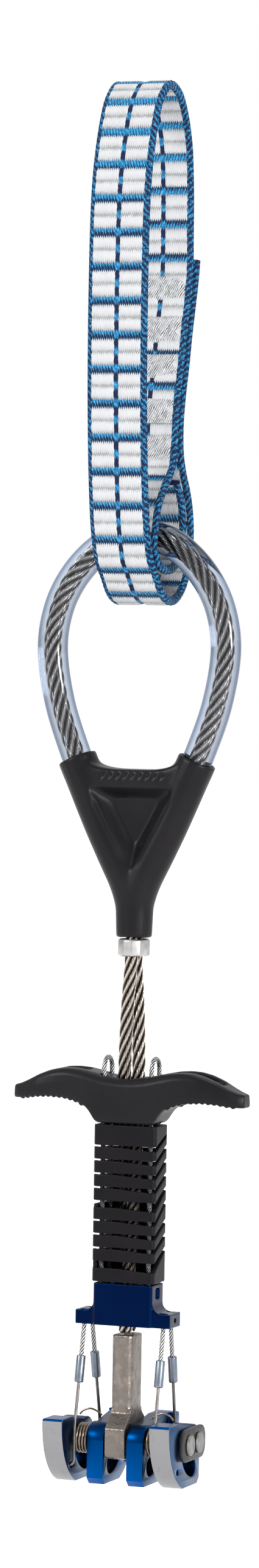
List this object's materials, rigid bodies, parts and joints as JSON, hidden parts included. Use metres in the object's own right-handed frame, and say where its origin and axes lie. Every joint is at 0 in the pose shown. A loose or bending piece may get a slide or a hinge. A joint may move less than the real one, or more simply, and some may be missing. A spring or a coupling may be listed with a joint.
{
  "type": "spring loaded camming device",
  "caption": "Climbing cam: spiral lobes on a double axle, wire rope stem with thumb loop, sliding pull trigger and webbing sling.",
  "frame": {"origin": "inner top of the webbing sling, where a carabiner holds the device", "axes": "+Z along the stem from the cams towards the sling, +X along the cam axles, -Y towards the rock that the outer cams grip"},
  "size_m": [0.0506, 0.0313, 0.2842],
  "materials": {
    "webbing": "woven, white cells in a blue grid",
    "wire_rope": "stranded, bright",
    "clear_tube": "clear, faintly blue",
    "black_plastic": "satin moulded",
    "swaged_steel": "pressed, nickel grey",
    "axle_steel": "peened ends",
    "plate_steel": "darkened",
    "spring_steel": "bright wire",
    "blue_aluminium": "blue anodised sides, bare machined grip face",
    "navy_aluminium": "dark blue anodised",
    "wire_steel": "solid wire, dull"
  },
  "bodies": {
    "sling": {"sling": "webbing"},
    "stem": {"main_cable": "wire_rope", "thumb_loop_tube": "clear_tube", "thumb_rest": "black_plastic", "collar": "swaged_steel", "terminal": "swaged_steel", "axle_front": "axle_steel", "axle_back": "axle_steel", "end_plate_left": "plate_steel", "end_plate_right": "plate_steel", "cam_spring_left": "spring_steel", "cam_spring_right": "spring_steel"},
    "trigger": {"trigger": "black_plastic", "trigger_cable_left": "wire_rope", "trigger_cable_right": "wire_rope", "sleeve": "black_plastic", "yoke": "navy_aluminium"},
    "outer_cam_left": {"outer_cam_left": "blue_aluminium"},
    "outer_cam_right": {"outer_cam_right": "blue_aluminium"},
    "inner_cam_left": {"inner_cam_left": "blue_aluminium"},
    "inner_cam_right": {"inner_cam_right": "blue_aluminium"},
    "link_outer_left": {"pull_wire_outer_left": "wire_steel", "ferrule_outer_left": "swaged_steel", "pull_cable_outer_left": "wire_rope"},
    "link_outer_right": {"pull_wire_outer_right": "wire_steel", "ferrule_outer_right": "swaged_steel", "pull_cable_outer_right": "wire_rope"},
    "link_inner_left": {"pull_wire_inner_left": "wire_steel", "ferrule_inner_left": "swaged_steel", "pull_cable_inner_left": "wire_rope"},
    "link_inner_right": {"pull_wire_inner_right": "wire_steel", "ferrule_inner_right": "swaged_steel", "pull_cable_inner_right": "wire_rope"}
  },
  "joints": [
    {"name": "sling_swing", "type": "hinge", "parent": "sling", "child": "stem", "pos_m": [0, 0.00208, -0.08969], "axis": [1, 0, 0], "range_deg": [-60, 60]},
    {"name": "trigger_slide", "type": "slide", "parent": "stem", "child": "trigger", "axis": [0, 0, 1], "range_m": [0, 0.0133], "stiffness_N_per_m": 400, "springref_m": -0.02},
    {"name": "outer_cam_left_turn", "type": "hinge", "parent": "stem", "child": "outer_cam_left", "pos_m": [-0.0116, 0.00468, -0.27369], "axis": [-1, 0, 0], "range_deg": [0, 80]},
    {"name": "outer_cam_right_turn", "type": "hinge", "parent": "stem", "child": "outer_cam_right", "pos_m": [0.0116, 0.00468, -0.27369], "axis": [-1, 0, 0], "range_deg": [0, 80]},
    {"name": "inner_cam_left_turn", "type": "hinge", "parent": "stem", "child": "inner_cam_left", "pos_m": [-0.0045, -0.00052, -0.27369], "axis": [1, 0, 0], "range_deg": [0, 80]},
    {"name": "inner_cam_right_turn", "type": "hinge", "parent": "stem", "child": "inner_cam_right", "pos_m": [0.0045, -0.00052, -0.27369], "axis": [1, 0, 0], "range_deg": [0, 80]},
    {"name": "link_outer_left_turn", "type": "hinge", "parent": "outer_cam_left", "child": "link_outer_left", "pos_m": [-0.01, -0.00432, -0.27879], "axis": [1, 0, 0], "range_deg": [0, 85]},
    {"name": "link_outer_right_turn", "type": "hinge", "parent": "outer_cam_right", "child": "link_outer_right", "pos_m": [0.01, -0.00432, -0.27879], "axis": [1, 0, 0], "range_deg": [0, 85]},
    {"name": "link_inner_left_turn", "type": "hinge", "parent": "inner_cam_left", "child": "link_inner_left", "pos_m": [-0.006, 0.00848, -0.27879], "axis": [-1, 0, 0], "range_deg": [0, 85]},
    {"name": "link_inner_right_turn", "type": "hinge", "parent": "inner_cam_right", "child": "link_inner_right", "pos_m": [0.006, 0.00848, -0.27879], "axis": [-1, 0, 0], "range_deg": [0, 85]}
  ],
  "couplings": [
    {"joint": "outer_cam_left_turn", "follows": "trigger_slide", "rad_per_m": 104.84},
    {"joint": "outer_cam_right_turn", "follows": "trigger_slide", "rad_per_m": 104.84},
    {"joint": "inner_cam_left_turn", "follows": "trigger_slide", "rad_per_m": 104.84},
    {"joint": "inner_cam_right_turn", "follows": "trigger_slide", "rad_per_m": 104.84},
    {"joint": "link_outer_left_turn", "follows": "trigger_slide", "rad_per_m": 110.88},
    {"joint": "link_outer_right_turn", "follows": "trigger_slide", "rad_per_m": 110.88},
    {"joint": "link_inner_left_turn", "follows": "trigger_slide", "rad_per_m": 110.88},
    {"joint": "link_inner_right_turn", "follows": "trigger_slide", "rad_per_m": 110.88}
  ]
}
